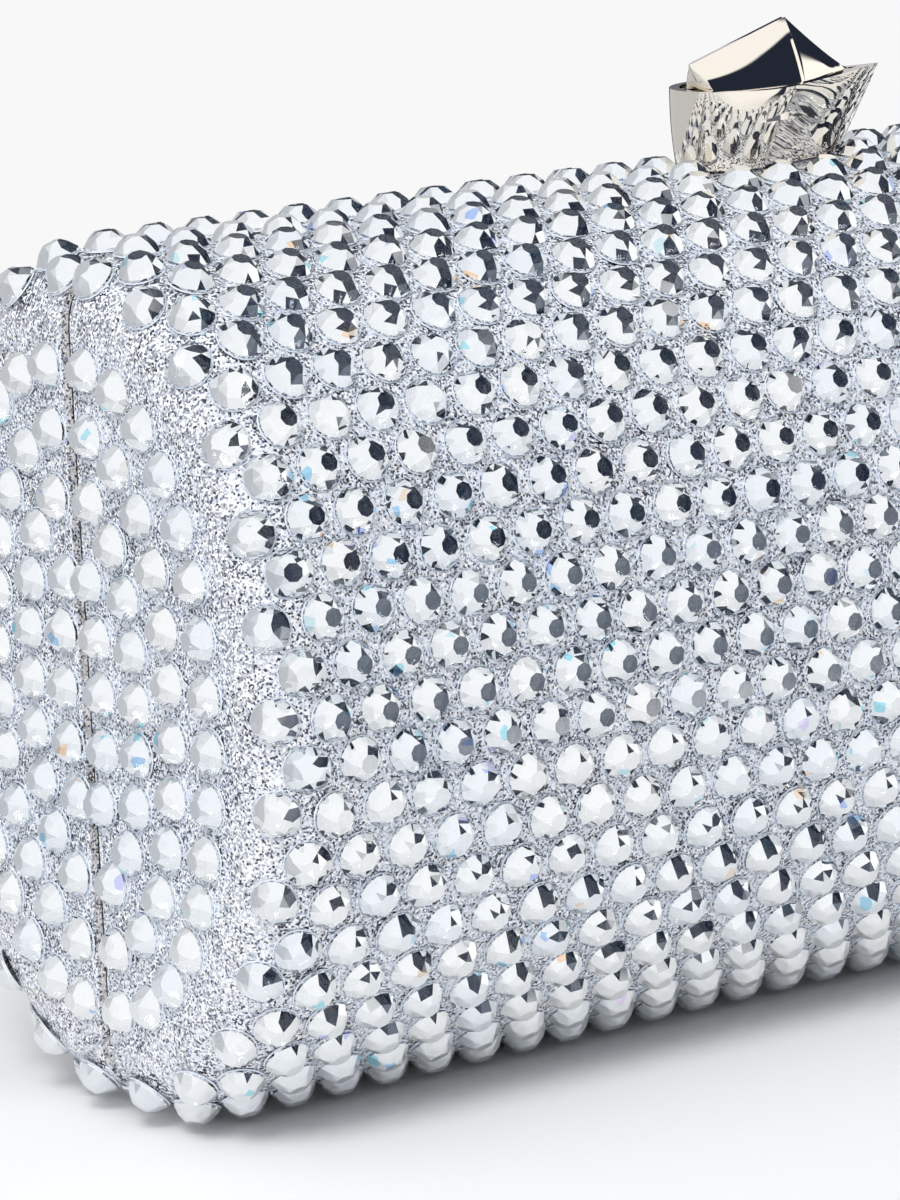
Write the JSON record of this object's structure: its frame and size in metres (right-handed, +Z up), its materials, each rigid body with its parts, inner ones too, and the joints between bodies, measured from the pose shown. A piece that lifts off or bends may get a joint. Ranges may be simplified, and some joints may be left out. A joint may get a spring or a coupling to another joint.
{
  "type": "clutch bag",
  "caption": "Oval-ended hard clutch bag covered all over in close-set round crystals, hinged along its foot, with a drop-shaped metal push clasp on top.",
  "frame": {"origin": "middle of the bag's foot, on the surface that it stands on, in the plane where the two halves meet", "axes": "+X along the bag towards the clasp's point, -Y out of the front half, which opens, +Z up"},
  "size_m": [0.19, 0.0714, 0.1064],
  "materials": {
    "stone_set_fabric": "round clear foil-backed stones in silver-lilac glitter fabric",
    "moulded_shell": "plain moulded",
    "warm_nickel": "mirror polished, slightly warm",
    "suede_lining": "short-napped suede",
    "bright_steel": "bright drawn"
  },
  "bodies": {
    "rear_half": {"rear_cover": "stone_set_fabric", "rear_shell": "moulded_shell", "rear_frame": "warm_nickel", "rear_lining": "suede_lining", "clasp_cup": "warm_nickel", "latch_bracket": "bright_steel", "button_spring": "bright_steel", "hinge_pin": "bright_steel", "catch_pin": "bright_steel", "cup_screw_left": "bright_steel", "cup_screw_right": "bright_steel", "bracket_screw_left": "bright_steel", "bracket_screw_right": "bright_steel"},
    "front_half": {"front_cover": "stone_set_fabric", "front_shell": "moulded_shell", "front_frame": "warm_nickel", "front_lining": "suede_lining", "latch_striker": "bright_steel", "striker_screw_left": "bright_steel", "striker_screw_right": "bright_steel"},
    "button": {"button_block": "warm_nickel", "button_stem": "bright_steel"},
    "catch": {"catch_lever": "bright_steel"}
  },
  "joints": [
    {"name": "shell_hinge", "type": "hinge", "parent": "rear_half", "child": "front_half", "pos_m": [0, 0, 0.002], "axis": [1, 0, 0], "range_deg": [0, 90]},
    {"name": "button_press", "type": "slide", "parent": "rear_half", "child": "button", "axis": [0, 0, -1], "range_m": [0, 0.0012], "stiffness_N_per_m": 800, "springref_m": -0.002, "deforming": ["button_spring"]},
    {"name": "catch_swing", "type": "hinge", "parent": "rear_half", "child": "catch", "pos_m": [-0.0051, 0.01266, 0.079], "axis": [1, 0, 0], "range_deg": [0, 8.7]}
  ],
  "couplings": [
    {"joint": "catch_swing", "follows": "button_press", "rad_per_m": 124}
  ]
}
